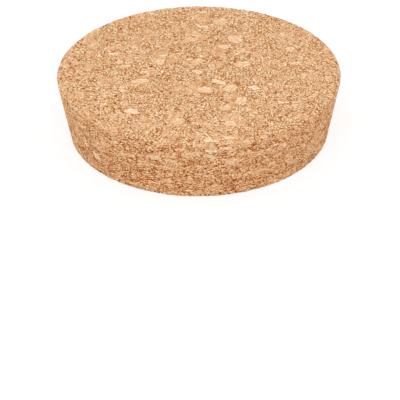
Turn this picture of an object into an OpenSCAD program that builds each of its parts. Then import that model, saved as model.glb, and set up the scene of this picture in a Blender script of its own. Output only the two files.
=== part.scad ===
// Tapered cork stopper: a wide, shallow plug for a jar mouth, turned from
// a block of pressed cork granules and sanded. It stands on its narrow face.

/* [Stopper] */
// Diameter of the wide top face, to the sharp corner
top_d = 87; // [70:0.5:120]
// Diameter of the narrow bottom face, to the sharp corner
bottom_d = 80; // [60:0.5:110]
// Height from face to face
height = 20; // [14:0.5:40]

/* [Rims] */
// Radius that eases the top rim
top_ease = 0.5; // [0.3:0.1:2]
// Radius that eases the bottom rim
bottom_ease = 0.5; // [0.3:0.1:2]

/* [Open pores] */
// Pores in each of the two faces
face_pore_count = 40; // [0:5:120]
// Pores round the side
side_pore_count = 28; // [0:4:80]
// Width of the widest pore
pore_w = 1.3; // [0.6:0.1:2]
// Length of the longest pore
pore_length = 2.4; // [0.8:0.1:4]
// Depth of the deepest pore
pore_depth = 0.5; // [0.2:0.1:1]

/* [Hidden] */
$fn = 96;

// The side leans out from the bottom face to the top face by this angle
lean = atan2((top_d - bottom_d) / 2, height);
top_ease_x = top_d / 2 - top_ease * (1 + sin(lean)) / cos(lean);
bottom_ease_x = bottom_d / 2 - bottom_ease * (1 - sin(lean)) / cos(lean);

// The part of a turn that keeps seeds in a sunflower from lining up
golden_turn = 180 * (3 - sqrt(5));

// A repeatable number from 0 to 1 for pore k
function chance(k, salt) =
    let (n = sin((k + 1) * 78.233 + salt * 37.719) * 43758.5453) n - floor(n);

// Half of the section: the two faces, the leaning side and a round at each rim
module profile() {
    reach = [cos(lean), -sin(lean)];
    bottom_c = [bottom_ease_x, bottom_ease];
    top_c = [top_ease_x, height - top_ease];
    polygon([
        [0, 0], [bottom_ease_x, 0],
        bottom_c + bottom_ease * reach, top_c + top_ease * reach,
        [top_ease_x, height], [0, height]
    ]);
    translate(bottom_c) circle(bottom_ease);
    translate(top_c) circle(top_ease);
}

// The socket of a lost granule, sunk in a surface whose outside is +Z: an
// angular hole with a sloping floor, turned by up to half of sweep each way
module pore(k, sweep) {
    size = 0.5 + 0.5 * chance(k, 1);
    half_w = size * pore_w / 2;
    half_length = half_w + size * (pore_length - pore_w) / 2 * chance(k, 2);
    corners = 5 + floor(3 * chance(k, 3));
    slope = [30 * (chance(k, 4) - 0.5), 30 * (chance(k, 5) - 0.5)];
    rotate([slope.x, slope.y, sweep * (chance(k, 6) - 0.5)])
    linear_extrude(height = 2 * size * pore_depth, center = true)
    polygon([for (i = [0 : corners - 1])
        let (a = 360 * i / corners, reach = 0.7 + 0.3 * chance(k, 7 + i))
        reach * [half_length * cos(a), half_w * sin(a)]]);
}

// Pores spread over a round face of radius r like seeds in a sunflower, shaken out of line
module face_pores(r, first) {
    for (i = [1 : 1 : face_pore_count]) {
        at_r = r * sqrt((i - chance(first + i, 20)) / face_pore_count);
        shake = 40 * (chance(first + i, 21) - 0.5);
        rotate(golden_turn * i + shake) translate([at_r, 0, 0]) pore(first + i, 360);
    }
}

// Pores round the side, clear of both rims, lying along the pressed layers
module side_pores() {
    band = height - top_ease - bottom_ease - pore_length;
    for (i = [1 : 1 : side_pore_count]) {
        z = bottom_ease + pore_length / 2 + band * chance(i, 22);
        rotate(360 * (i - chance(i, 23)) / side_pore_count)
        translate([bottom_d / 2 + z * tan(lean), 0, z])
        rotate([0, 90 + lean, 0]) rotate(90) pore(i, 50);
    }
}

module cork_stopper() {
    color("burlywood")
    difference() {
        rotate_extrude() profile();
        translate([0, 0, height]) face_pores(top_ease_x - pore_length, 1000);
        rotate([180, 0, 0]) face_pores(bottom_ease_x - pore_length, 2000);
        side_pores();
    }
}
cork_stopper();
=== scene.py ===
"""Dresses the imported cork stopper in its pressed-cork skin and sets a small studio round it.

Lengths are in millimetres, and become metres where a mesh, a lamp or the camera is made.
The stopper stands on its narrow face, +Z runs up its axis and the camera looks along +Y.
"""

import logging
import math
from dataclasses import dataclass
from enum import Enum, IntEnum

import bpy
import numpy as np
from mathutils import Matrix, Vector


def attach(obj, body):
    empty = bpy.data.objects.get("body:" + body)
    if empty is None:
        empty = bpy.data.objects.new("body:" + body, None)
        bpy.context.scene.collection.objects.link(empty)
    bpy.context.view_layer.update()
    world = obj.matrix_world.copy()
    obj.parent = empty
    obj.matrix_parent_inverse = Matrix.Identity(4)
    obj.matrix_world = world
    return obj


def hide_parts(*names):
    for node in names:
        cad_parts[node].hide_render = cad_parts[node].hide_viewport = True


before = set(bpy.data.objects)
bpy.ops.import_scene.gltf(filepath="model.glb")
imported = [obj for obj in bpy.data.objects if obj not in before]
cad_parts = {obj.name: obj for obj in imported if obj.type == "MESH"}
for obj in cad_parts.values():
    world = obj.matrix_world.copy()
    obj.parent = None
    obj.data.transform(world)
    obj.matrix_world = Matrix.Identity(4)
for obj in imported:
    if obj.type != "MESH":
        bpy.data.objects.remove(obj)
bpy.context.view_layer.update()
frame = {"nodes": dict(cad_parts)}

MM = 0.001
NODE = "cork_stopper"

Array = np.ndarray
Socket = bpy.types.NodeSocket
Colour = tuple[float, float, float, float]

WHITE: Colour = (1.0, 1.0, 1.0, 1.0)
GOLDEN_ANGLE = math.pi * (3 - math.sqrt(5))

log = logging.getLogger("cork_stopper")


def srgb(red: float, green: float, blue: float) -> Colour:
    """Turns a colour as a screen writes it, 0 to 255, into the linear one that a shader takes.

    The curve is sRGB's: the share of full brightness over 12.92 up to a share of 0.04045, and
    the share plus 0.055, over 1.055, to the power 2.4 above it.

    Args:
        red: Red, 0 to 255.
        green: Green, 0 to 255.
        blue: Blue, 0 to 255.

    Returns:
        The linear red, green, blue and a full alpha.
    """
    share = np.array([red, green, blue]) / 255.0
    linear = np.where(share <= 0.04045, share / 12.92, ((share + 0.055) / 1.055) ** 2.4)
    return (*linear.tolist(), 1.0)


def ease_between(low: float, high: float, value: Array) -> Array:
    """The smooth step 3t^2 - 2t^3 from 0 at low to 1 at high, or turned round if low is higher."""
    t = np.clip((value - low) / (high - low), 0.0, 1.0)
    return t * t * (3.0 - 2.0 * t)


def turn_about(axis: int, angle: Array) -> Array:
    """Rotation matrices about one of the axes.

    Args:
        axis: 0, 1 or 2 for X, Y or Z.
        angle: The angles in radians, one for each matrix.

    Returns:
        An array of as many 3 by 3 matrices.
    """
    first, second = (axis + 1) % 3, (axis + 2) % 3
    made = np.zeros((len(angle), 3, 3))
    made[:, axis, axis] = 1.0
    made[:, first, first] = made[:, second, second] = np.cos(angle)
    made[:, second, first] = np.sin(angle)
    made[:, first, second] = -np.sin(angle)
    return made


# ---------------------------------------------------------------------------------------------
# Shape
# ---------------------------------------------------------------------------------------------


@dataclass(frozen=True)
class Section:
    """Half of the stopper's section, with its diameters measured to the sharp corners."""

    top_d: float = 87.0
    bottom_d: float = 80.0
    height: float = 20.0
    top_ease: float = 0.5
    bottom_ease: float = 0.5

    @property
    def lean(self) -> float:
        """The angle by which the side leans out on its way up, in radians."""
        return math.atan2((self.top_d - self.bottom_d) / 2, self.height)

    @property
    def top_flat(self) -> float:
        """Radius at which the flat top face ends and its eased rim begins."""
        return self.top_d / 2 - self.top_ease * (1 + math.sin(self.lean)) / math.cos(self.lean)

    @property
    def bottom_flat(self) -> float:
        """Radius at which the flat bottom face ends and its eased rim begins."""
        return self.bottom_d / 2 - self.bottom_ease * (1 - math.sin(self.lean)) / math.cos(self.lean)

    def side_radius(self, z: Array) -> Array:
        """Radius of the leaning side at height z."""
        return self.bottom_d / 2 + z * math.tan(self.lean)

    def on_side(self, azimuth: Array, z: Array) -> tuple[Array, Array]:
        """Places on the leaning side, azimuth degrees round from the front towards +X.

        The outward direction points away from the axis and down by the side's lean. The level
        direction lies at a right angle to it round the side, and the cross product of the two
        runs up the side.

        Args:
            azimuth: The azimuth of each place, in degrees.
            z: The height of each place.

        Returns:
            The points, and their level, upward and outward directions as the columns of a
            matrix each.
        """
        angle = np.radians(azimuth)[..., None]
        away = np.concatenate([np.sin(angle), -np.cos(angle), 0 * angle], axis=-1)
        level = np.concatenate([np.cos(angle), np.sin(angle), 0 * angle], axis=-1)
        up = np.array([0.0, 0.0, 1.0])
        height = np.asarray(z)[..., None]
        centre = away * self.side_radius(height) + up * height
        outward = away * math.cos(self.lean) - up * math.sin(self.lean)
        return centre, np.stack([level, np.cross(outward, level), outward], axis=-1)

    def rings(self, side_rows: int, ease_rows: int) -> tuple[Array, Array, Array]:
        """The rings from the edge of the top flat, over both rims, to the edge of the bottom flat.

        A point on a rim is the rim's centre plus the ease radius along the direction
        (cos t, sin t), with t falling from straight up to the side's own normal at the top
        rim, and from there to straight down at the bottom rim. The side between them is a
        straight line.

        Args:
            side_rows: Rows of cells between the two rims.
            ease_rows: Rows of cells over each rim.

        Returns:
            The radius, the height and the normal's angle above the horizon of every ring.
        """
        top_turn = np.linspace(math.pi / 2, -self.lean, ease_rows + 1)
        bottom_turn = np.linspace(-self.lean, -math.pi / 2, ease_rows + 1)
        top = np.stack([self.top_flat + self.top_ease * np.cos(top_turn),
                        self.height - self.top_ease * (1 - np.sin(top_turn))])
        bottom = np.stack([self.bottom_flat + self.bottom_ease * np.cos(bottom_turn),
                           self.bottom_ease * (1 + np.sin(bottom_turn))])
        down = np.linspace(0, 1, side_rows + 1)[1:-1]
        side = top[:, -1:] * (1 - down) + bottom[:, :1] * down
        radius, height = np.concatenate([top, side, bottom], axis=1)
        angle = np.concatenate([top_turn, np.full(len(down), -self.lean), bottom_turn])
        return radius, height, angle


@dataclass(frozen=True)
class SkinGrid:
    """The closed grid of points on which the skin is worked out."""

    section: Section
    face_cells: int = 172
    side_rows: int = 44
    ease_rows: int = 3

    def disc(self, radius: float) -> Array:
        """A square grid pressed into a disc.

        Each square of the grid round the middle becomes a circle: a point (a, b) of the square
        from -1 to 1 goes to radius max(|a|, |b|), at an angle that runs evenly along the
        square's side.

        Args:
            radius: Radius of the disc.

        Returns:
            The x and y of every grid point, as an array of rows, columns and 2.
        """
        steps = np.linspace(-1.0, 1.0, self.face_cells + 1)
        a, b = np.meshgrid(steps, steps, indexing="ij")
        wide = np.abs(a) > np.abs(b)
        reach = np.where(wide, a, b)
        with np.errstate(divide="ignore", invalid="ignore"):
            share = np.nan_to_num(np.where(wide, b, a) / reach)
        angle = np.where(wide, share * math.pi / 4, math.pi / 2 - share * math.pi / 4)
        return radius * reach[..., None] * np.stack([np.cos(angle), np.sin(angle)], axis=-1)

    def rim_order(self) -> Array:
        """Follows the grid's edge once round, anticlockwise.

        Returns:
            The numbers of the edge's points.
        """
        last = self.face_cells
        run = np.arange(last)
        row = np.concatenate([np.full(last, last), last - run, np.zeros(last, int), run])
        column = np.concatenate([run, np.full(last, last), last - run, np.zeros(last, int)])
        return row * (last + 1) + column

    def face_quads(self) -> Array:
        """Lists the cells of one square grid.

        Returns:
            Each cell's four point numbers, anticlockwise.
        """
        across = self.face_cells + 1
        corner = (np.arange(self.face_cells)[:, None] * across + np.arange(self.face_cells)).ravel()
        return np.stack([corner, corner + across, corner + across + 1, corner + 1], axis=1)

    def build(self) -> tuple[Array, Array, Array, Array]:
        """Works out the whole closed grid: top face, rims and side, bottom face.

        Returns:
            The points, their outward normals, the share of side in each point, from 0 on a
            face to 1 on the side, and the cells as four point numbers each.
        """
        radius, height, angle = self.section.rings(self.side_rows, self.ease_rows)
        rim = self.rim_order()
        per_face = (self.face_cells + 1) ** 2
        unit = self.disc(1.0).reshape(-1, 2)
        around = unit[rim]

        top = np.column_stack([unit * radius[0], np.full(per_face, height[0])])
        bottom = np.column_stack([unit * radius[-1], np.full(per_face, height[-1])])
        wall = np.concatenate([
            radius[1:-1, None, None] * around[None],
            np.broadcast_to(height[1:-1, None, None], (len(radius) - 2, len(rim), 1)),
        ], axis=-1).reshape(-1, 3)
        wall_normal = np.concatenate([
            np.cos(angle[1:-1])[:, None, None] * around[None],
            np.broadcast_to(np.sin(angle[1:-1])[:, None, None], (len(radius) - 2, len(rim), 1)),
        ], axis=-1).reshape(-1, 3)

        points = np.concatenate([top, wall, bottom])
        up = np.zeros((per_face, 3))
        up[:, 2] = 1.0
        normals = np.concatenate([up, wall_normal, -up])
        flank = ease_between(0.0, 1.0, np.hypot(normals[:, 0], normals[:, 1]))

        wall_first = per_face + np.arange(len(radius) - 2)[:, None] * len(rim)
        rings = np.concatenate([
            rim[None], wall_first + np.arange(len(rim)), (per_face + len(wall) + rim)[None],
        ])
        upper, lower = rings[:-1], rings[1:]
        wall_quads = np.stack([
            upper, lower, np.roll(lower, -1, axis=1), np.roll(upper, -1, axis=1),
        ], axis=-1).reshape(-1, 4)
        top_quads = self.face_quads()
        bottom_quads = top_quads[:, ::-1] + per_face + len(wall)
        return points, normals, flank, np.concatenate([top_quads, wall_quads, bottom_quads])


# ---------------------------------------------------------------------------------------------
# Marks: pores, flakes and scraps of bark that lie at known places
# ---------------------------------------------------------------------------------------------


class Tone(Enum):
    """What a mark is made of, as the number that the skin carries for it."""

    # A pore. The dark tint that the skin gives it is painted shade in its hollow.
    VOID = -1.0
    BARK = -0.6
    TAN = 0.35
    PALE = 0.7
    CREAM = 1.0


@dataclass
class Marks:
    """Patches on the skin, one row of each array for every patch.

    frame holds each patch's long, short and outward directions as the columns of a matrix, and
    depth is how far the patch is sunk into the skin.
    """

    centre: Array
    frame: Array
    half_length: Array
    half_width: Array
    tone: Array
    depth: Array

    def joined(self, other: "Marks") -> "Marks":
        """These marks and the other ones after them."""
        pairs = [(getattr(self, name), getattr(other, name)) for name in self.__dataclass_fields__]
        return Marks(*[np.concatenate(pair) for pair in pairs])


class Draw(IntEnum):
    """What a pore draws a chance number for, as the salt that keeps the draws apart."""

    SIZE = 1
    LENGTH = 2
    SLOPE_ALONG = 4
    SLOPE_ACROSS = 5
    TURN = 6
    RADIUS = 20
    SHAKE = 21
    HEIGHT = 22
    AZIMUTH = 23


@dataclass(frozen=True)
class OpenPores:
    """The sockets of lost granules, placed by the same rules as in the part's solid.

    width, length and depth are the largest pore's, and angles are in degrees.
    """

    section: Section
    face_count: int = 40
    side_count: int = 28
    width: float = 1.3
    length: float = 2.4
    depth: float = 0.5
    smallest: float = 0.5
    slope: float = 30.0
    shake: float = 40.0
    face_sweep: float = 360.0
    side_sweep: float = 50.0
    top_first: int = 1000
    bottom_first: int = 2000
    chance_step: float = 78.233
    chance_salt: float = 37.719
    chance_scale: float = 43758.5453

    def chance(self, number: Array, salt: Draw) -> Array:
        """A repeatable number from 0 to 1: the fraction of a large multiple of a sine."""
        angle = np.radians((number + 1) * self.chance_step + salt * self.chance_salt)
        return np.mod(np.sin(angle) * self.chance_scale, 1.0)

    def swing(self, number: Array, salt: Draw, sweep: float) -> Array:
        """A repeatable angle in radians, up to half the sweep in degrees to either side."""
        return np.radians(sweep * (self.chance(number, salt) - 0.5))

    def marks(self, number: Array, sweep: float, place: Array, centre: Array) -> Marks:
        """The pores with these numbers.

        Args:
            number: The number from which each pore draws its size and slope.
            sweep: The angle in degrees within which a pore is turned.
            place: The frame of the surface at each pore, with its outside along +Z.
            centre: Each pore's centre on the surface.

        Returns:
            The pores as marks.
        """
        size = self.smallest + (1 - self.smallest) * self.chance(number, Draw.SIZE)
        half_width = size * self.width / 2
        longer = size * (self.length - self.width) / 2 * self.chance(number, Draw.LENGTH)
        tilt = (turn_about(2, self.swing(number, Draw.TURN, sweep))
                @ turn_about(1, self.swing(number, Draw.SLOPE_ACROSS, self.slope))
                @ turn_about(0, self.swing(number, Draw.SLOPE_ALONG, self.slope)))
        return Marks(centre, place @ tilt, half_width + longer, half_width,
                     np.full(len(number), Tone.VOID.value), size * self.depth)

    def on_face(self, flat: float, first: int, z: float, over: Array) -> Marks:
        """The pores of one face, spread like seeds in a sunflower and shaken out of line.

        Args:
            flat: Radius of the face's flat part.
            first: The number that pores are counted from.
            z: Height of the face.
            over: The rotation that brings an upward face to this one.

        Returns:
            The pores as marks.
        """
        i = np.arange(1, self.face_count + 1)
        reach = flat - self.length
        at_radius = reach * np.sqrt((i - self.chance(first + i, Draw.RADIUS)) / self.face_count)
        angle = GOLDEN_ANGLE * i + self.swing(first + i, Draw.SHAKE, self.shake)
        centre = np.stack([at_radius * np.cos(angle), at_radius * np.sin(angle), 0 * angle], axis=1)
        centre = centre @ over.T + [0, 0, z]
        return self.marks(first + i, self.face_sweep, over @ turn_about(2, angle), centre)

    def on_side(self) -> Marks:
        """The pores round the side, clear of both rims, lying along the pressed layers.

        Returns:
            The pores as marks.
        """
        section = self.section
        i = np.arange(1, self.side_count + 1)
        band = section.height - section.top_ease - section.bottom_ease - self.length
        z = section.bottom_ease + self.length / 2 + band * self.chance(i, Draw.HEIGHT)
        angle = 2 * math.pi * (i - self.chance(i, Draw.AZIMUTH)) / self.side_count
        radius = section.side_radius(z)
        centre = np.stack([radius * np.cos(angle), radius * np.sin(angle), z], axis=1)
        tip = np.full(len(i), math.pi / 2 + section.lean)
        quarter = np.full(len(i), math.pi / 2)
        place = turn_about(2, angle) @ turn_about(1, tip) @ turn_about(2, quarter)
        return self.marks(i, self.side_sweep, place, centre)

    def all(self) -> Marks:
        """Every pore of the stopper: those of the top, then the bottom, then the side.

        Returns:
            The pores as marks.
        """
        section = self.section
        level = np.eye(3)
        flipped = turn_about(0, np.array([math.pi]))[0]
        top = self.on_face(section.top_flat, self.top_first, section.height, level)
        bottom = self.on_face(section.bottom_flat, self.bottom_first, 0.0, flipped)
        return top.joined(bottom).joined(self.on_side())


@dataclass(frozen=True)
class TopFlake:
    """A granule that stands out on the top face, turned anticlockwise from +X, in degrees."""

    x: float
    y: float
    length: float
    width: float
    turn: float
    tone: Tone

    def place(self, section: Section) -> tuple[Array, Array]:
        """Its centre and its frame on the top face."""
        return np.array([self.x, self.y, section.height]), np.eye(3)


@dataclass(frozen=True)
class SideFlake:
    """A granule that stands out on the side, azimuth degrees round from the front towards +X."""

    azimuth: float
    z: float
    length: float
    width: float
    turn: float
    tone: Tone

    def place(self, section: Section) -> tuple[Array, Array]:
        """Its centre and its frame on the side."""
        return section.on_side(self.azimuth, self.z)


# Each row gives a flake's place, its length and width, its turn and its tone.
FLAKES: tuple[TopFlake | SideFlake, ...] = (
    TopFlake(1.5, 39.0, 2.8, 1.2, 25, Tone.CREAM),
    TopFlake(7.0, 32.5, 5.5, 5.0, 0, Tone.TAN),
    TopFlake(1.5, 29.0, 4.0, 1.2, 0, Tone.CREAM),
    TopFlake(-5.0, 24.5, 2.4, 1.6, 80, Tone.BARK),
    TopFlake(26.5, 23.5, 1.8, 1.2, -30, Tone.CREAM),
    TopFlake(11.5, 20.0, 6.0, 4.0, -50, Tone.PALE),
    TopFlake(8.0, 15.5, 4.5, 3.0, 10, Tone.PALE),
    TopFlake(28.5, 13.5, 3.6, 3.0, 60, Tone.PALE),
    TopFlake(-26.5, 11.5, 3.8, 1.4, 10, Tone.CREAM),
    TopFlake(-13.0, 16.0, 2.6, 1.0, 0, Tone.CREAM),
    TopFlake(-11.0, 10.0, 3.4, 1.1, 25, Tone.CREAM),
    TopFlake(-12.0, 6.0, 3.6, 3.4, 60, Tone.PALE),
    TopFlake(-24.5, 6.0, 2.6, 2.0, 40, Tone.PALE),
    TopFlake(-22.5, 3.5, 3.6, 1.8, -10, Tone.PALE),
    TopFlake(-3.0, 7.5, 2.3, 1.3, 10, Tone.CREAM),
    TopFlake(1.0, 9.5, 1.4, 1.0, 30, Tone.CREAM),
    TopFlake(-0.5, 6.0, 4.6, 4.0, 20, Tone.TAN),
    TopFlake(13.5, 4.0, 5.4, 3.8, 15, Tone.PALE),
    TopFlake(-0.5, -0.5, 3.8, 2.6, -50, Tone.PALE),
    TopFlake(30.0, 4.5, 4.4, 1.4, 5, Tone.PALE),
    TopFlake(-18.0, -6.0, 6.0, 3.0, 5, Tone.PALE),
    TopFlake(6.0, -7.0, 5.2, 2.2, -30, Tone.CREAM),
    TopFlake(1.5, -11.5, 5.2, 3.6, -15, Tone.PALE),
    TopFlake(9.5, -11.0, 5.0, 3.8, 30, Tone.PALE),
    TopFlake(16.5, -10.5, 3.6, 2.8, -20, Tone.CREAM),
    TopFlake(-23.0, -11.5, 1.8, 1.6, 0, Tone.CREAM),
    TopFlake(12.5, -18.5, 5.0, 3.6, 70, Tone.PALE),
    TopFlake(25.0, -19.5, 4.2, 1.1, 0, Tone.CREAM),
    TopFlake(-20.0, -24.0, 5.0, 3.0, -20, Tone.CREAM),
    TopFlake(7.5, -22.5, 4.0, 3.2, 0, Tone.TAN),
    TopFlake(-6.5, -30.0, 4.6, 3.8, 20, Tone.TAN),
    TopFlake(9.0, -31.5, 4.0, 3.0, -20, Tone.PALE),
    TopFlake(2.5, -40.5, 3.2, 2.4, 60, Tone.CREAM),
    TopFlake(8.5, -39.5, 3.2, 1.8, 0, Tone.CREAM),
    TopFlake(32.5, -20.0, 1.4, 1.2, 0, Tone.BARK),
    TopFlake(35.0, -18.0, 1.2, 0.9, 0, Tone.BARK),
    TopFlake(-12.5, -4.0, 1.4, 0.8, 0, Tone.BARK),
    SideFlake(-48.5, 6.5, 4.0, 2.0, -30, Tone.CREAM),
    SideFlake(-55.0, 9.0, 3.2, 1.6, -40, Tone.PALE),
    SideFlake(-30.0, 12.5, 7.0, 0.8, 5, Tone.PALE),
    SideFlake(-18.0, 14.0, 4.4, 1.6, -5, Tone.PALE),
    SideFlake(-11.0, 13.5, 5.0, 1.0, -12, Tone.PALE),
    SideFlake(-13.5, 5.5, 4.0, 1.8, 0, Tone.TAN),
    SideFlake(4.5, 17.5, 4.0, 1.2, 5, Tone.CREAM),
    SideFlake(3.5, 15.5, 3.6, 1.5, -10, Tone.PALE),
    SideFlake(11.0, 18.0, 3.0, 1.3, 0, Tone.CREAM),
    SideFlake(12.0, 12.5, 3.4, 1.6, -35, Tone.PALE),
    SideFlake(31.5, 15.5, 1.6, 0.9, 0, Tone.CREAM),
    SideFlake(36.0, 14.0, 1.6, 0.9, -30, Tone.CREAM),
    SideFlake(31.0, 8.5, 3.0, 1.2, 0, Tone.PALE),
    SideFlake(64.0, 12.5, 2.4, 0.9, -40, Tone.CREAM),
    SideFlake(-27.5, 19.0, 1.4, 0.7, 0, Tone.VOID),
    SideFlake(-20.0, 15.0, 1.4, 0.7, 20, Tone.VOID),
    SideFlake(15.0, 10.0, 1.9, 0.8, 10, Tone.VOID),
    SideFlake(11.0, 8.5, 1.1, 0.7, 0, Tone.VOID),
    SideFlake(26.0, 4.0, 1.0, 0.7, 0, Tone.VOID),
)


def flake_marks(section: Section, flakes: tuple[TopFlake | SideFlake, ...],
                void_depth: float = 0.35) -> Marks:
    """The flakes as marks, those that are voids sunk a little way in.

    Args:
        section: The stopper's section.
        flakes: The flakes.
        void_depth: How far a void is sunk.

    Returns:
        One mark for each flake.
    """
    placed = [flake.place(section) for flake in flakes]
    turn = turn_about(2, np.radians([flake.turn for flake in flakes]))
    tone = np.array([flake.tone.value for flake in flakes])
    return Marks(
        np.array([centre for centre, _ in placed]),
        np.array([place for _, place in placed]) @ turn,
        np.array([flake.length for flake in flakes]) / 2,
        np.array([flake.width for flake in flakes]) / 2,
        tone,
        np.where(tone == Tone.VOID.value, void_depth, 0.0),
    )


@dataclass(frozen=True)
class StrewnFlakes:
    """Pale granules strewn over the underside and round the far side of the stopper.

    A slimness is the least width of a flake for its length, and the widest has twice that.
    Angles are in degrees.
    """

    section: Section
    bottom_count: int = 30
    side_count: int = 26
    first_azimuth: float = 72.0
    last_azimuth: float = 288.0
    lowest: float = 0.15
    highest: float = 0.85
    longest: float = 5.0
    shortest_share: float = 0.5
    bottom_slimness: float = 0.4
    side_slimness: float = 0.22
    bottom_sweep: float = 360.0
    side_sweep: float = 40.0
    side_shake: float = 0.3
    tones: tuple[Tone, ...] = (Tone.TAN, Tone.PALE, Tone.PALE, Tone.CREAM)
    seed: int = 5

    def marks(self, draw: np.random.Generator, place: Array, centre: Array, sweep: float,
              slimness: float) -> Marks:
        """Flakes at these places.

        Args:
            draw: Where chance numbers come from.
            place: The frame of the surface at each flake, with its outside along +Z.
            centre: Each flake's centre on the surface.
            sweep: The angle in degrees within which a flake is turned.
            slimness: The least width of a flake for its length.

        Returns:
            The flakes as marks.
        """
        count = len(centre)
        half_length = self.longest / 2 * draw.uniform(self.shortest_share, 1.0, count)
        half_width = half_length * draw.uniform(slimness, 2 * slimness, count)
        turn = turn_about(2, np.radians(sweep) * draw.uniform(-0.5, 0.5, count))
        tone = draw.choice([tone.value for tone in self.tones], count)
        return Marks(centre, place @ turn, half_length, half_width, tone, np.zeros(count))

    def under(self, draw: np.random.Generator) -> Marks:
        """Spreads flakes on the underside like seeds in a sunflower.

        Args:
            draw: Where chance numbers come from.

        Returns:
            The flakes as marks.
        """
        i = np.arange(1, self.bottom_count + 1)
        reach = self.section.bottom_flat - self.longest / 2
        radius = reach * np.sqrt((i - draw.uniform(0.0, 1.0, len(i))) / self.bottom_count)
        angle = GOLDEN_ANGLE * i
        centre = np.stack([radius * np.cos(angle), radius * np.sin(angle), 0 * angle], axis=1)
        downward = turn_about(0, np.full(len(i), math.pi))
        return self.marks(draw, downward, centre, self.bottom_sweep, self.bottom_slimness)

    def behind(self, draw: np.random.Generator) -> Marks:
        """Spreads flakes along the far side, each shaken in its own share of the way round.

        Args:
            draw: Where chance numbers come from.

        Returns:
            The flakes as marks.
        """
        shaken = draw.uniform(0.5 - self.side_shake, 0.5 + self.side_shake, self.side_count)
        share = (np.arange(self.side_count) + shaken) / self.side_count
        azimuth = self.first_azimuth + (self.last_azimuth - self.first_azimuth) * share
        height = self.section.height * draw.uniform(self.lowest, self.highest, self.side_count)
        centre, place = self.section.on_side(azimuth, height)
        return self.marks(draw, place, centre, self.side_sweep, self.side_slimness)

    def all(self) -> Marks:
        """The flakes of the underside and then those of the far side."""
        draw = np.random.default_rng(self.seed)
        return self.under(draw).joined(self.behind(draw))


# ---------------------------------------------------------------------------------------------
# Nodes
# ---------------------------------------------------------------------------------------------

Value = Socket | float | tuple[float, ...]


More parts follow.
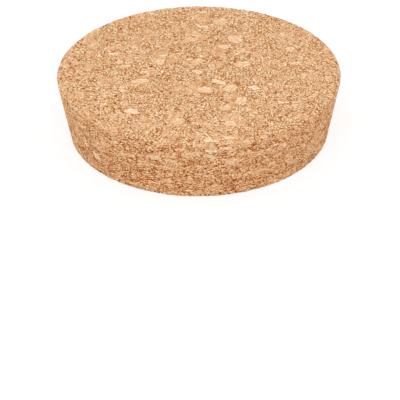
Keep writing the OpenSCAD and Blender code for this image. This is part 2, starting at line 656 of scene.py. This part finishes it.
class Graph:
    """Writes nodes into one node tree, a call for each, for a material or for geometry nodes."""

    def __init__(self, tree: bpy.types.NodeTree) -> None:
        """Takes the tree that the nodes go into."""
        self.tree = tree

    @classmethod
    def emptied(cls, owner: bpy.types.Material | bpy.types.World) -> "Graph":
        """Gives a material or a world a node tree without nodes.

        Args:
            owner: The material or the world.

        Returns:
            The graph that writes into it.
        """
        owner.use_nodes = True
        owner.node_tree.nodes.clear()
        return cls(owner.node_tree)

    def add(self, kind: str, **settings: object) -> bpy.types.Node:
        """Adds a node.

        Args:
            kind: Its type, by Blender's name.
            settings: The properties to set on it.

        Returns:
            The node.
        """
        node = self.tree.nodes.new(kind)
        for name, value in settings.items():
            setattr(node, name, value)
        return node

    def join(self, target: Socket, value: Value) -> None:
        """Feeds a socket.

        Args:
            target: The input socket.
            value: The socket to link to it, or a value of its own.
        """
        if isinstance(value, bpy.types.NodeSocket):
            self.tree.links.new(value, target)
        else:
            target.default_value = value

    def fed(self, kind: str, values: tuple[Value, ...], **settings: object) -> bpy.types.Node:
        """Adds a node and feeds the inputs that its settings leave in use, in their order.

        Args:
            kind: Its type, by Blender's name.
            values: What the inputs take.
            settings: The properties to set on it.

        Returns:
            The node.
        """
        node = self.add(kind, **settings)
        in_use = [socket for socket in node.inputs if socket.enabled]
        for target, value in zip(in_use, values):
            self.join(target, value)
        return node

    def filled(self, kind: str, inputs: dict[str, Value]) -> Socket:
        """Adds a node and feeds its inputs by name.

        Args:
            kind: Its type, by Blender's name.
            inputs: What each input takes.

        Returns:
            The node's first output.
        """
        node = self.add(kind)
        for name, value in inputs.items():
            self.join(node.inputs[name], value)
        return node.outputs[0]

    def attribute(self, name: str, output: str = "Fac") -> Socket:
        """An attribute of the surface, for a material."""
        return self.add("ShaderNodeAttribute", attribute_name=name).outputs[output]

    def math(self, operation: str, *values: Value) -> Socket:
        """A Math node's result for one to three numbers."""
        return self.fed("ShaderNodeMath", values, operation=operation).outputs[0]

    def vector(self, operation: str, first: Value, second: Value) -> Socket:
        """A Vector Math node's vector for two vectors, or for a vector and a number."""
        return self.fed("ShaderNodeVectorMath", (first, second), operation=operation).outputs["Vector"]

    def scaled(self, vector: Value, factor: Value) -> Socket:
        """A vector times a number."""
        return self.vector("SCALE", vector, factor)

    def parts(self, vector: Value) -> tuple[Socket, ...]:
        """The three numbers of a vector or a colour."""
        return tuple(self.fed("ShaderNodeSeparateXYZ", (vector,)).outputs)

    def step(self, value: Value, low: Value, high: Value) -> Socket:
        """A smooth step from 0 at low to 1 at high, or turned round if low is higher."""
        node = self.fed("ShaderNodeMapRange", (value, low, high), interpolation_type="SMOOTHSTEP")
        return node.outputs["Result"]

    def mix(self, kind: str, share: Value, first: Value, second: Value, way: str = "MIX") -> Socket:
        """What lies at this share from the first to the second, each a FLOAT, VECTOR or RGBA."""
        node = self.fed("ShaderNodeMix", (share, first, second), data_type=kind, blend_type=way)
        return next(socket for socket in node.outputs if socket.enabled)

    def noise(self, where: Value, size: float, detail: float = 0.0) -> tuple[Socket, Socket]:
        """Smooth noise.

        Args:
            where: The point at which it is read.
            size: The size of its lumps.
            detail: How many times finer lumps are laid over them.

        Returns:
            Its number, and its colour as three more numbers.
        """
        node = self.add("ShaderNodeTexNoise", noise_dimensions="3D")
        self.join(node.inputs["Vector"], where)
        node.inputs["Scale"].default_value = 1.0 / size
        node.inputs["Detail"].default_value = detail
        return node.outputs[0], node.outputs[1]

    def sway(self, where: Value, size: float) -> Socket:
        """Smooth noise with lumps of this size, as a vector that sways about zero."""
        return self.vector("SUBTRACT", self.noise(where, size)[1], (0.5, 0.5, 0.5))

    def voronoi(self, where: Value, size: float, feature: str) -> bpy.types.Node:
        """Irregular cells.

        Args:
            where: The point at which they are read.
            size: About how large they are.
            feature: What is read of them, by Blender's name.

        Returns:
            The node.
        """
        node = self.add("ShaderNodeTexVoronoi", voronoi_dimensions="3D", feature=feature)
        self.join(node.inputs["Vector"], where)
        node.inputs["Scale"].default_value = 1.0 / size
        return node

    def cells(self, where: Value, size: float) -> tuple[Socket, Socket]:
        """Irregular cells with walls between them.

        Args:
            where: The point at which they are read.
            size: About how large they are.

        Returns:
            A chance colour for the point's cell, and its distance from the nearest wall.
        """
        chance = self.voronoi(where, size, "F1").outputs["Color"]
        wall = self.voronoi(where, size, "DISTANCE_TO_EDGE").outputs["Distance"]
        return chance, self.math("MULTIPLY", wall, size)

    def ramp(self, value: Value, stops: tuple[tuple[float, Colour], ...]) -> Socket:
        """Reads a colour from a row of stops.

        Args:
            value: Where it is read, from 0 to 1.
            stops: Each stop's place and colour.

        Returns:
            The colour.
        """
        node = self.add("ShaderNodeValToRGB")
        self.join(node.inputs[0], value)
        row = node.color_ramp.elements
        while len(row) < len(stops):
            row.new(1.0)
        for element, (at, colour) in zip(row, stops):
            element.position = at
            element.color = colour
        return node.outputs[0]


# ---------------------------------------------------------------------------------------------
# Cork
# ---------------------------------------------------------------------------------------------


@dataclass
class Pattern:
    """What the grain is at a point, as sockets.

    fineness is 1 on the smallest granules and falls with each larger size. groove runs from 0
    to 1 where the skin sinks between two granules.
    """

    lightness: Value
    fineness: Value
    groove: Value


@dataclass
class Ground:
    """What granules of every size are worked out from at a point, as sockets."""

    plain: Socket
    turned: Socket
    stir: Socket
    shiver: Socket
    crumb: Socket
    gap_wider: Socket
    gap_shade_stronger: Socket
    lip_lighter: Socket


@dataclass(frozen=True)
class Granules:
    """One size of granule. Lengths are in millimetres and lightness runs from 0 to 1.

    share is the part of these cells that are one whole granule, and the other cells are
    broken into the smaller sizes. drawn is how long a granule is for its width, and pressed
    how wide for its height. spread is how far lightness varies from one granule to the next,
    and crumb how far within one. A dark gap runs round each granule and a pale lip inside it.
    The gap's darkening is partly the joints' own colour and partly painted shade in the crevice.
    through is how much of the smaller sizes shows in a whole granule.
    """

    size: float
    share: float
    drawn: float
    pressed: float
    light: float
    spread: float
    crumb: float
    gap_width: float
    gap_dark_and_shade: float
    lip_light: float
    through: float
    groove_width: float


@dataclass(frozen=True)
class Grain:
    """Pressed cork: granules of several sizes that lie flat, with dark gaps between them.

    The same rules colour the skin and shape it, as Object coordinates in a material and as
    positions in geometry nodes. Drawn granules lie side by side in bundles. Outlines are
    stirred by slow noise and shiver with quick noise, each as a share of the granule's size.
    A gap is full within gap_core of a wall, and a lip fades over lip_width to either side of
    lip_at. Both are fainter by up to the share uneven. Larger granules are streaked by
    lamellae. side_painted_lift and fine_side_painted_lift make the side lighter than a face. This is
    painted light that makes up for the shade the side gets. The other names with flank say how
    much wider and stronger the side's gaps and lips are, and the stronger gaps there are painted
    shade of deeper crevices.
    """

    levels: tuple[Granules, ...] = (
        Granules(size=0.7, share=1.0, drawn=1.6, pressed=1.8, light=0.815, spread=0.06, crumb=0.02,
                 gap_width=0.13, gap_dark_and_shade=0.58, lip_light=0.17, through=0.0, groove_width=0.34),
        Granules(size=1.2, share=0.65, drawn=1.5, pressed=2.0, light=0.738, spread=0.04, crumb=0.04,
                 gap_width=0.15, gap_dark_and_shade=0.58, lip_light=0.16, through=0.45, groove_width=0.4),
        Granules(size=1.2, share=0.09, drawn=4.0, pressed=2.0, light=0.9, spread=0.05, crumb=0.05,
                 gap_width=0.14, gap_dark_and_shade=0.5, lip_light=0.0, through=0.15, groove_width=0.3),
        Granules(size=2.7, share=0.26, drawn=1.0, pressed=2.4, light=0.722, spread=0.05, crumb=0.05,
                 gap_width=0.13, gap_dark_and_shade=0.55, lip_light=0.15, through=0.4, groove_width=0.5),
        Granules(size=4.3, share=0.15, drawn=1.0, pressed=2.8, light=0.722, spread=0.04, crumb=0.05,
                 gap_width=0.13, gap_dark_and_shade=0.5, lip_light=0.11, through=0.4, groove_width=0.5),
    )
    apart: tuple[float, float, float] = (31.0, 7.0, 3.0)
    pressed: float = 1.8
    bundle_size: float = 2.4
    side_stray: float = 1.2
    side_drawn: float = 1.2
    crumb_size: float = 0.42
    stir_size: float = 1.9
    stir: float = 0.5
    shiver_size: float = 0.6
    shiver: float = 0.4
    uneven: float = 0.15
    gap_core: float = 0.03
    lip_at: float = 0.22
    lip_width: float = 0.28
    middle_light: float = 0.7
    lamella_size: float = 0.45
    lamella_drawn: float = 5.0
    lamella_stir: float = 0.8
    lamella_light: float = 0.45
    # Painted light: the side is made lighter, more so on fine granules, to make up for its shade.
    side_painted_lift: float = 0.04
    fine_side_painted_lift: float = 0.08
    flank_gap_shade: float = 0.62
    flank_gap_width: float = 0.4
    flank_lip: float = 2.4

    def turned(self, graph: Graph, where: Socket, flat: Socket, flank: Socket) -> Socket:
        """Turns space in bundles, so that drawn granules lie side by side within each.

        A bundle on a face may lie any way round. One on the side lies along the side, turned
        by up to half of side_stray in radians, and is side_drawn times as long.

        Args:
            graph: The tree that the nodes go into.
            where: The point, in millimetres.
            flat: The point with its height stretched.
            flank: The share of side at the point.

        Returns:
            The turned point.
        """
        bundle = graph.voronoi(flat, self.bundle_size, "F1")
        chance = graph.parts(bundle.outputs["Color"])[0]
        x, y, _ = graph.parts(bundle.outputs["Position"])
        any_way = graph.math("MULTIPLY", chance, 2.0 * math.pi)
        stray = graph.math("MULTIPLY_ADD", chance, self.side_stray, -0.5 * (self.side_stray + math.pi))
        along_side = graph.math("SUBTRACT", stray, graph.math("ARCTAN2", y, x))
        on_side = graph.math("GREATER_THAN", flank, 0.5)
        turn = graph.add("ShaderNodeVectorRotate", rotation_type="Z_AXIS")
        graph.join(turn.inputs["Vector"], where)
        graph.join(turn.inputs["Angle"], graph.mix("FLOAT", on_side, any_way, along_side))
        drawn = (1.0 / self.side_drawn, 1.0, 1.0)
        longer = graph.mix("VECTOR", on_side, (1.0, 1.0, 1.0), drawn)
        return graph.vector("MULTIPLY", turn.outputs[0], longer)

    def ground(self, graph: Graph, where: Socket, flank: Socket) -> Ground:
        """Writes the nodes that granules of every size share.

        Args:
            graph: The tree that the nodes go into.
            where: The point, in millimetres.
            flank: The share of side at the point.

        Returns:
            Their sockets.
        """
        flat = graph.vector("MULTIPLY", where, (1.0, 1.0, self.pressed))
        crumb = graph.parts(graph.cells(flat, self.crumb_size)[0])[1]
        return Ground(
            plain=where,
            turned=self.turned(graph, where, flat, flank),
            stir=graph.sway(flat, self.stir_size),
            shiver=graph.sway(flat, self.shiver_size),
            crumb=graph.math("SUBTRACT", crumb, 0.5),
            gap_wider=graph.math("MULTIPLY_ADD", flank, self.flank_gap_width, 1.0),
            gap_shade_stronger=graph.math("MULTIPLY_ADD", flank, self.flank_gap_shade, 1.0),
            lip_lighter=graph.math("MULTIPLY_ADD", flank, self.flank_lip, 1.0),
        )

    def moved(self, graph: Graph, ground: Ground, order: int) -> Socket:
        """The point in the space where one size of granule is as wide as long and as high.

        Args:
            graph: The tree that the nodes go into.
            ground: What all sizes share.
            order: The number of the size, which also shifts it away from the others.

        Returns:
            The point, stretched, shifted and stirred.
        """
        level = self.levels[order]
        longer = math.sqrt(level.drawn)
        along = ground.turned if level.drawn > 1.0 else ground.plain
        moved = graph.vector("MULTIPLY", along, (1.0 / longer, longer, level.pressed))
        moved = graph.vector("ADD", moved, tuple(shift * order for shift in self.apart))
        moved = graph.vector("ADD", moved, graph.scaled(ground.stir, self.stir * level.size))
        return graph.vector("ADD", moved, graph.scaled(ground.shiver, self.shiver * level.size))

    def covered(self, graph: Graph, ground: Ground, order: int, below: Pattern) -> Pattern:
        """Lays one size of granule over the smaller ones, where it is whole.

        Args:
            graph: The tree that the nodes go into.
            ground: What all sizes share.
            order: The number of the size.
            below: The pattern of the smaller sizes.

        Returns:
            The pattern with this size in it.
        """
        level = self.levels[order]
        chance, wall = graph.cells(self.moved(graph, ground, order), level.size)
        pick, tone, faint = graph.parts(chance)
        strength = graph.math("MULTIPLY_ADD", faint, -self.uneven, 1.0)
        width = graph.math("MULTIPLY", ground.gap_wider, level.gap_width)
        gap = graph.math("MULTIPLY", graph.step(wall, width, self.gap_core), strength)
        # On the side the gap darkens further, as painted shade of its deeper crevices.
        gap = graph.math("MULTIPLY", gap, ground.gap_shade_stronger)
        off_lip = graph.math("ABSOLUTE", graph.math("SUBTRACT", wall, self.lip_at))
        lip = graph.math("MULTIPLY", graph.step(off_lip, self.lip_width, 0.0), strength)
        lip = graph.math("MULTIPLY", lip, ground.lip_lighter)
        shown = graph.math("SUBTRACT", below.lightness, self.middle_light)
        light = graph.math("MULTIPLY_ADD", tone, level.spread, level.light - 0.5 * level.spread)
        light = graph.math("MULTIPLY_ADD", ground.crumb, level.crumb, light)
        light = graph.math("MULTIPLY_ADD", shown, level.through, light)
        light = graph.math("MULTIPLY_ADD", lip, level.lip_light, light)
        # The gap darkens the granule's edge, partly as the joint's own colour and partly as painted
        # crevice shade.
        light = graph.math("MULTIPLY_ADD", gap, -level.gap_dark_and_shade, light)
        whole = graph.math("LESS_THAN", pick, level.share)
        return Pattern(
            lightness=graph.mix("FLOAT", whole, below.lightness, light),
            fineness=graph.mix("FLOAT", whole, below.fineness, 1.0 / (1.0 + order)),
            groove=graph.mix("FLOAT", whole, below.groove, graph.step(wall, level.groove_width, 0.0)),
        )

    def pattern(self, graph: Graph, where: Socket, flank: Socket) -> Pattern:
        """Writes the grain's nodes, from the smallest granules to the largest.

        Args:
            graph: The tree that the nodes go into.
            where: The point, in millimetres.
            flank: The share of side at the point, where gaps are darker.

        Returns:
            The pattern's sockets.
        """
        ground = self.ground(graph, where, flank)
        found = Pattern(self.middle_light, 1.0, 0.0)
        for order in range(len(self.levels)):
            found = self.covered(graph, ground, order, found)

        lamella = graph.vector("MULTIPLY", ground.turned, (1.0 / self.lamella_drawn, 1.0, 1.0))
        lamella = graph.vector("ADD", lamella, graph.scaled(ground.stir, self.lamella_stir))
        lamella = graph.math("SUBTRACT", graph.noise(lamella, self.lamella_size)[0], 0.5)
        strength = graph.math("MULTIPLY_ADD", found.fineness, -self.lamella_light, self.lamella_light)
        light = graph.math("MULTIPLY_ADD", lamella, strength, found.lightness)
        # Painted light: lifts the side's lightness against the shade it gets.
        side_painted_lift = graph.math("MULTIPLY_ADD", found.fineness, self.fine_side_painted_lift, self.side_painted_lift)
        light = graph.math("MULTIPLY_ADD", flank, side_painted_lift, light)
        return Pattern(light, found.fineness, found.groove)


@dataclass(frozen=True)
class MarkFinish:
    """The looks of marks, which the skin carries as attributes.

    A mark fades out from a reach of inside to one of outside, and ragged noise makes that
    outline stray. A flake's lightness is light, plus tone_light for its tone and streak_light
    in its streaks, and it hides the share cover of the grain. A dark rim runs round a mark:
    rim gives the reach at which it begins, is full, begins to fade and ends.
    """

    ragged_size: float = 0.9
    ragged: float = 1.2
    ragged_detail: float = 1.0
    inside: float = 0.94
    outside: float = 1.06
    light: float = 0.72
    tone_light: float = 0.13
    streaks: tuple[float, float, float] = (1.2, 2.4, 40.0)
    streak_from: float = 0.50
    streak_to: float = 0.60
    streak_light: float = 0.13
    cover: float = 0.85
    rim: tuple[float, float, float, float] = (0.98, 1.04, 1.08, 1.20)
    rim_dark: float = 0.18

    def laid(self, graph: Graph, where: Socket, light: Socket) -> tuple[Socket, Socket, Socket]:
        """Lays the marks over the grain.

        Args:
            graph: The tree that the nodes go into.
            where: The point, in millimetres.
            light: The grain's lightness.

        Returns:
            The lightness with the marks on it, the share of the grain's own tint that pale
            marks leave, and the share of the dark tint: bark's own colour on bark, and painted shade
            in the hollows of pores.
        """
        mark = graph.attribute("mark", "Vector")
        tone = graph.parts(mark)[2]
        stray = graph.math("SUBTRACT", graph.noise(where, self.ragged_size, self.ragged_detail)[0], 0.5)
        reach = graph.math("MULTIPLY_ADD", stray, self.ragged, graph.attribute("reach"))
        within = graph.step(reach, self.outside, self.inside)
        pale = graph.math("MAXIMUM", tone, 0.0)
        # Bark takes the dark tint as its own colour. Pores, of tone -1, take it in full as painted shade
        # in their hollows.
        dark = graph.math("MAXIMUM", graph.math("MULTIPLY", tone, -1.0), 0.0)

        streak = graph.noise(graph.vector("MULTIPLY", mark, self.streaks), 1.0)[0]
        streak = graph.step(streak, self.streak_from, self.streak_to)
        body = graph.math("MULTIPLY_ADD", pale, self.tone_light, self.light)
        body = graph.math("MULTIPLY_ADD", streak, self.streak_light, body)
        cover = graph.math("MULTIPLY", graph.math("GREATER_THAN", tone, 0.0), self.cover)
        light = graph.mix("FLOAT", graph.math("MULTIPLY", within, cover), light, body)

        begins, full, fades, ends = self.rim
        rim = graph.math("MULTIPLY", graph.step(reach, begins, full), graph.step(reach, ends, fades))
        light = graph.math("MULTIPLY_ADD", rim, -self.rim_dark, light)
        bare = graph.math("SUBTRACT", 1.0, graph.math("MULTIPLY", within, pale))
        return light, bare, graph.math("MULTIPLY", dark, within)


@dataclass(frozen=True)
class CorkFinish:
    """The colours and the surface of sanded pressed cork.

    stops are the colours from the darkest lightness to the palest, as a screen writes them.
    Tints multiply them: fine_tint on the smallest granules, flank_tint on the side,
    fine_flank_tint where both hold, and bark_and_pore_shade_tint on bark and on pores. On bark it is the
    bark's own colour, and in pores it is painted shade in their hollows. bump is the depth of the fine
    grooves in millimetres.
    """

    grain: Grain = Grain()
    marks: MarkFinish = MarkFinish()
    stops: tuple[tuple[float, tuple[int, int, int]], ...] = (
        (0.00, (134, 44, 0)),
        (0.12, (152, 62, 0)),
        (0.30, (174, 90, 8)),
        (0.45, (194, 118, 46)),
        (0.60, (212, 149, 94)),
        (0.70, (225, 178, 138)),
        (0.78, (234, 191, 152)),
        (0.86, (247, 214, 176)),
        (0.98, (255, 241, 213)),
    )
    fine_tint: tuple[float, float, float] = (0.98, 0.945, 0.775)
    flank_tint: tuple[float, float, float] = (0.995, 0.85, 0.72)
    fine_flank_tint: tuple[float, float, float] = (0.99, 0.90, 0.82)
    bark_and_pore_shade_tint: tuple[float, float, float] = (0.80, 0.66, 0.52)
    roughness: float = 0.9
    specular: float = 0.08
    bump: float = 0.06

    def material(self) -> bpy.types.Material:
        """Makes the cork material.

        Returns:
            The material, which reads Object coordinates and the skin's own attributes.
        """
        material = bpy.data.materials.new("sanded_pressed_cork")
        graph = Graph.emptied(material)
        where = graph.scaled(graph.add("ShaderNodeTexCoord").outputs["Object"], 1.0 / MM)
        flank = graph.attribute("flank")
        pattern = self.grain.pattern(graph, where, flank)
        light, bare, bark = self.marks.laid(graph, where, pattern.lightness)

        fine = graph.math("MULTIPLY", pattern.fineness, bare)
        tints = (
            (fine, self.fine_tint),
            (graph.math("MULTIPLY", flank, bare), self.flank_tint),
            (graph.math("MULTIPLY", fine, flank), self.fine_flank_tint),
            # The dark tint: bark's own colour, and painted shade inside pores.
            (bark, self.bark_and_pore_shade_tint),
        )
        coloured = graph.ramp(light, tuple((at, srgb(*colour)) for at, colour in self.stops))
        for share, tint in tints:
            coloured = graph.mix("RGBA", share, coloured, (*tint, 1.0), "MULTIPLY")

        sunk = graph.math("MULTIPLY", pattern.groove, -1.0)
        bump = {"Strength": 1.0, "Distance": self.bump * MM, "Height": sunk}
        cork = {
            "Base Color": coloured,
            "Roughness": self.roughness,
            "Specular IOR Level": self.specular,
            "Normal": graph.filled("ShaderNodeBump", bump),
        }
        shown = graph.filled("ShaderNodeBsdfPrincipled", cork)
        graph.fed("ShaderNodeOutputMaterial", (shown,))
        return material


@dataclass
class CorkSkin:
    """The stopper's skin: the turned form with its grooves, pores and flakes.

    A full groove is groove_depth deep on a face, and side_groove deeper on the side, in
    millimetres. Reaches are in half sizes of a mark: it carries out to far_reach, a point off
    its layer counts as off_layer further out, and a pore sinks from pore_rim to pore_floor.
    """

    section: Section
    grid: SkinGrid
    finish: CorkFinish
    groove_depth: float = 0.12
    side_groove: float = 0.08
    far_reach: float = 3.0
    off_layer: float = 10.0
    pore_rim: float = 1.25
    pore_floor: float = 0.7

    def carried_marks(self, points: Array, marks: Marks) -> tuple[Array, Array, Array]:
        """Finds the mark that each point lies nearest to.

        A point's place in a mark is its distance from the centre along the mark's two
        directions, in half lengths and half widths. Its reach is the length of that, which is
        1 on the mark's outline, and the least reach runs evenly from mark to mark. A pore's
        depth fades out over its edge.

        Args:
            points: The skin's points.
            marks: The marks.

        Returns:
            For each point, its reach in the nearest mark; its place in that mark and the
            mark's tone, as one vector; and how far a pore sinks it.
        """
        nearest = np.full(len(points), self.far_reach)
        carried = np.zeros((len(points), 3))
        sunk = np.zeros(len(points))
        for k in range(len(marks.tone)):
            offset = (points - marks.centre[k]) @ marks.frame[k]
            u = offset[:, 0] / marks.half_length[k]
            v = offset[:, 1] / marks.half_width[k]
            off_layer = np.abs(offset[:, 2]) > marks.half_length[k]
            away = np.hypot(u, v) + self.off_layer * off_layer
            closer = away < nearest
            nearest = np.where(closer, away, nearest)
            carried[closer] = np.stack([u, v, np.full_like(u, marks.tone[k])], axis=1)[closer]
            sunk = np.maximum(sunk, marks.depth[k] * ease_between(self.pore_rim, self.pore_floor, away))
        return nearest, carried, sunk

    def grooves(self, piece: bpy.types.Object) -> Array:
        """Reads the grain's grooves at the piece's points, with geometry nodes.

        Args:
            piece: The skin, with its points at rest.

        Returns:
            The groove at each point, from 0 to 1.
        """
        tree = bpy.data.node_groups.new("groove_probe", "GeometryNodeTree")
        for way in ("INPUT", "OUTPUT"):
            tree.interface.new_socket("Geometry", in_out=way, socket_type="NodeSocketGeometry")
        graph = Graph(tree)
        where = graph.scaled(graph.add("GeometryNodeInputPosition").outputs[0], 1.0 / MM)
        flank = graph.add("GeometryNodeInputNamedAttribute", data_type="FLOAT")
        flank.inputs["Name"].default_value = "flank"
        pattern = self.finish.grain.pattern(graph, where, flank.outputs["Attribute"])
        store = graph.add("GeometryNodeStoreNamedAttribute", data_type="FLOAT", domain="POINT")
        store.inputs["Name"].default_value = "groove"
        graph.join(store.inputs["Geometry"], graph.add("NodeGroupInput").outputs[0])
        graph.join(store.inputs["Value"], pattern.groove)
        graph.join(graph.add("NodeGroupOutput").inputs[0], store.outputs[0])

        probe = piece.modifiers.new("groove_probe", "NODES")
        probe.node_group = tree
        read = piece.evaluated_get(bpy.context.evaluated_depsgraph_get())
        groove = np.empty(len(piece.data.vertices), np.float32)
        read.data.attributes["groove"].data.foreach_get("value", groove)
        piece.modifiers.remove(probe)
        bpy.data.node_groups.remove(tree)
        return groove.astype(float)

    def build(self) -> bpy.types.Object:
        """Builds the skin and dresses it.

        Returns:
            The finished object, riding on the part's one body in place of its solid.
        """
        points, normals, flank, quads = self.grid.build()
        marks = OpenPores(self.section).all().joined(flake_marks(self.section, FLAKES))
        marks = marks.joined(StrewnFlakes(self.section).all())
        reach, carried, sunk = self.carried_marks(points, marks)

        mesh = bpy.data.meshes.new("cork_skin")
        mesh.from_pydata((points * MM).tolist(), [], quads.tolist())
        mesh.polygons.foreach_set("use_smooth", np.ones(len(quads), bool))
        for name, kind, part, values in (
            ("flank", "FLOAT", "value", flank),
            ("reach", "FLOAT", "value", reach),
            ("mark", "FLOAT_VECTOR", "vector", carried),
        ):
            layer = mesh.attributes.new(name, kind, "POINT")
            layer.data.foreach_set(part, values.astype(np.float32).ravel())
        piece = bpy.data.objects.new("cork_skin", mesh)
        bpy.context.scene.collection.objects.link(piece)

        groove = self.grooves(piece)
        depth = sunk + groove * (self.groove_depth + self.side_groove * flank)
        moved = points - normals * depth[:, None]
        mesh.vertices.foreach_set("co", (moved * MM).astype(np.float32).ravel())
        mesh.update()
        mesh.materials.append(self.finish.material())
        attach(piece, "root")
        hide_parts(NODE)
        return piece


# ---------------------------------------------------------------------------------------------
# Studio
# ---------------------------------------------------------------------------------------------


def seen_directly(graph: Graph) -> Socket:
    """Tells the rays that show the background itself, straight, mirrored or through glass.

    Args:
        graph: The tree that the nodes go into.

    Returns:
        1 for such a ray, and 0 for any other.
    """
    rays = graph.add("ShaderNodeLightPath").outputs
    direct = graph.math("MAXIMUM", rays["Is Camera Ray"], rays["Is Glossy Ray"])
    return graph.math("MAXIMUM", direct, rays["Is Transmission Ray"])


@dataclass(frozen=True)
class TableFinish:
    """A diffuse white table top, which to the eye is near white with a faint shadow.

    Light that reaches the stopper comes off a table of the shade grey. Seen directly, the
    table is of shown_grey, which takes the shadow, and glow lifts it to near white.
    """

    grey: float = 0.82
    shown_grey: float = 0.28
    glow: float = 0.76

    def material(self) -> bpy.types.Material:
        """Makes the table's material.

        Returns:
            The material.
        """
        material = bpy.data.materials.new("white_table")
        graph = Graph.emptied(material)
        table, faint = (
            graph.filled("ShaderNodeBsdfDiffuse", {"Color": (grey, grey, grey, 1.0)})
            for grey in (self.grey, self.shown_grey)
        )
        glow = graph.filled("ShaderNodeEmission", {"Strength": self.glow})
        shown = graph.fed("ShaderNodeAddShader", (faint, glow)).outputs[0]
        pick = graph.fed("ShaderNodeMixShader", (seen_directly(graph), table, shown))
        graph.fed("ShaderNodeOutputMaterial", (pick.outputs[0],))
        return material


@dataclass(frozen=True)
class Studio:
    """A white table and room, one broad lamp and the camera. Lengths are in millimetres.

    The sky is the strength of the room's even light, and lamp_power is in watts. The camera
    stands at a distance from the stopper's middle, at an elevation in degrees, and is then
    pitched down past it, which puts the stopper in the upper half of the picture, and rolled.
    """

    table: TableFinish = TableFinish()
    floor_half: float = 1500.0
    sky: float = 0.92
    lamp_size: float = 500.0
    lamp_power: float = 0.9
    lamp_place: tuple[float, float, float] = (-30.0, -420.0, 550.0)
    distance: float = 559.0
    elevation: float = 30.07
    pitch: float = 3.2
    roll: float = 0.5
    lens: float = 162.5
    sensor: float = 36.0

    def build(self, section: Section) -> None:
        """Makes the floor, the world, the lamp and the camera.

        Args:
            section: The stopper's section, which the camera is aimed by.
        """
        self.add_floor()
        self.add_sky()
        self.add_lamp()
        self.add_camera(section)
        bpy.context.scene.view_settings.view_transform = "Standard"

    def add_floor(self) -> None:
        """Lays the table."""
        half = self.floor_half * MM
        corners = [(-half, -half, 0), (half, -half, 0), (half, half, 0), (-half, half, 0)]
        mesh = bpy.data.meshes.new("floor")
        mesh.from_pydata(corners, [], [(0, 1, 2, 3)])
        mesh.materials.append(self.table.material())
        floor = bpy.data.objects.new("floor", mesh)
        bpy.context.scene.collection.objects.link(floor)

    def add_sky(self) -> None:
        """Lights the room evenly, and shows white behind it."""
        world = bpy.data.worlds.new("white_room")
        graph = Graph.emptied(world)
        light, shown = (
            graph.filled("ShaderNodeBackground", {"Color": WHITE, "Strength": strength})
            for strength in (self.sky, 1.0)
        )
        pick = graph.fed("ShaderNodeMixShader", (seen_directly(graph), light, shown))
        graph.fed("ShaderNodeOutputWorld", (pick.outputs[0],))
        bpy.context.scene.world = world

    def add_lamp(self) -> None:
        """Hangs a broad soft lamp in front of the stopper and above it."""
        lamp = bpy.data.lights.new("soft_lamp", "AREA")
        lamp.shape = "DISK"
        lamp.size = self.lamp_size * MM
        lamp.energy = self.lamp_power
        hung = bpy.data.objects.new("soft_lamp", lamp)
        hung.location = [length * MM for length in self.lamp_place]
        hung.rotation_euler = (-hung.location).to_track_quat("-Z", "Y").to_euler()
        bpy.context.scene.collection.objects.link(hung)

    def add_camera(self, section: Section) -> None:
        """Sets up the camera: a long lens that looks down on the stopper.

        Args:
            section: The stopper's section.
        """
        elevation, pitch, roll = np.radians([self.elevation, self.pitch, self.roll])
        camera = bpy.data.cameras.new("camera")
        camera.sensor_width = self.sensor
        camera.lens = self.lens
        back = Vector((0.0, -math.cos(elevation), math.sin(elevation)))
        level = Vector((1.0, 0.0, 0.0))
        aim = Matrix((level, back.cross(level), back)).transposed()
        turned = aim @ Matrix.Rotation(-pitch, 3, "X") @ Matrix.Rotation(-roll, 3, "Z")
        middle = Vector((0.0, 0.0, section.height / 2))
        stand = Matrix.Translation((back * self.distance + middle) * MM)
        held = bpy.data.objects.new("camera", camera)
        held.matrix_world = stand @ turned.to_4x4()
        bpy.context.scene.collection.objects.link(held)
        bpy.context.scene.camera = held


def main() -> None:
    """Builds the skin and the studio, and reports each."""
    logging.basicConfig(level=logging.INFO, format="%(name)s: %(message)s")
    section = Section()
    piece = CorkSkin(section, SkinGrid(section), CorkFinish()).build()
    log.info("%s: %d points, %d cells", piece.name, len(piece.data.vertices), len(piece.data.polygons))
    Studio().build(section)
    log.info("studio: floor, sky, lamp and camera")


if __name__ == "__main__":
    main()
